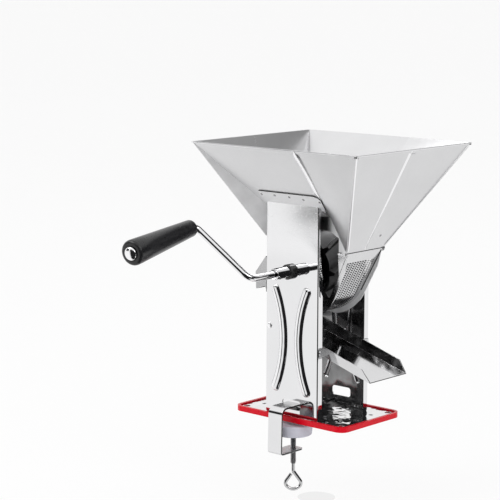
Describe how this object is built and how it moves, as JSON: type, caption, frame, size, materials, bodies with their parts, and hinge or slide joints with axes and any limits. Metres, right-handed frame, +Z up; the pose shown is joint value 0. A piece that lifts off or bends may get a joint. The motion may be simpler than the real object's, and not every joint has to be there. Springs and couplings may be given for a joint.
{
  "type": "tomato strainer with crank",
  "caption": "Hand cranked strainer: sheet steel funnel over a vaned roller and a sprung curved screen, juice chute, two side plates on an edged base, offset crank with grip, table clamp.",
  "frame": {"origin": "centre of the underside of the base, where it rests on the table top", "axes": "+Z up, +X towards the end of the juice chute, -Y towards the crank and the clamp"},
  "size_m": [0.2175, 0.3236, 0.3641],
  "materials": {
    "plate_steel": "mirror polished",
    "edge_plastic": "glossy red",
    "rivet_steel": "polished",
    "hopper_steel": "satin to bright",
    "chute_steel": "bright",
    "scraper_steel": "satin",
    "bush_plastic": "smooth",
    "rod_steel": "drawn",
    "spring_steel": "drawn wire",
    "clamp_steel": "polished",
    "screw_steel": "zinc plated",
    "roller_aluminium": "cast and turned",
    "crank_chrome": "mirror",
    "grip_plastic": "satin black",
    "screen_steel": "satin",
    "pad_plastic": "matt pale grey"
  },
  "bodies": {
    "frame": {"base_plate": "plate_steel", "base_trim": "edge_plastic", "front_side_plate": "plate_steel", "rear_side_plate": "plate_steel", "foot_rivets": "rivet_steel", "hopper_front_half": "hopper_steel", "hopper_rear_half": "hopper_steel", "juice_chute": "chute_steel", "chute_rivets": "rivet_steel", "peel_scraper": "scraper_steel", "scraper_rivets": "rivet_steel", "front_bearing_bush": "bush_plastic", "rear_bearing_bush": "bush_plastic", "screen_hanger_rod": "rod_steel", "spring_anchor_rod": "rod_steel", "screen_springs": "spring_steel", "clamp_bracket": "clamp_steel"},
    "crank": {"roller": "roller_aluminium", "roller_end_plates": "roller_aluminium", "roller_shaft": "rod_steel", "roller_pin": "rod_steel", "shaft_circlip": "spring_steel", "crank_sleeve": "crank_chrome", "crank_pins": "rod_steel", "crank_rod": "crank_chrome", "grip_cap": "crank_chrome"},
    "grip": {"grip": "grip_plastic"},
    "screen": {"perforated_screen": "screen_steel"},
    "clamp_pad": {"clamp_pad": "pad_plastic"},
    "clamp_screw": {"clamp_screw": "screw_steel"}
  },
  "joints": [
    {"name": "crank_turn", "type": "hinge", "parent": "frame", "child": "crank", "pos_m": [-0.003, 0, 0.156], "axis": [0, 1, 0], "continuous": true},
    {"name": "grip_spin", "type": "hinge", "parent": "crank", "child": "grip", "pos_m": [-0.06099, -0.12627, 0.20466], "axis": [0.1514, -0.9803, -0.1271], "continuous": true},
    {"name": "screen_swing", "type": "hinge", "parent": "frame", "child": "screen", "pos_m": [0.06014, 0, 0.1794], "axis": [0, -1, 0], "range_deg": [0, 3], "stiffness_Nm_per_rad": 1.5, "springref_deg": -5.73, "deforming": ["screen_springs"]},
    {"name": "clamp_screw_turn", "type": "hinge", "parent": "clamp_pad", "child": "clamp_screw", "pos_m": [0, -0.038, -0.03], "axis": [0, 0, 1], "range_deg": [-5041, 1009]},
    {"name": "clamp_travel", "type": "slide", "parent": "frame", "child": "clamp_pad", "axis": [0, 0, 1], "range_m": [-0.014, 0.0028]}
  ],
  "couplings": [
    {"joint": "clamp_screw_turn", "follows": "clamp_travel", "rad_per_m": 6283.2}
  ]
}
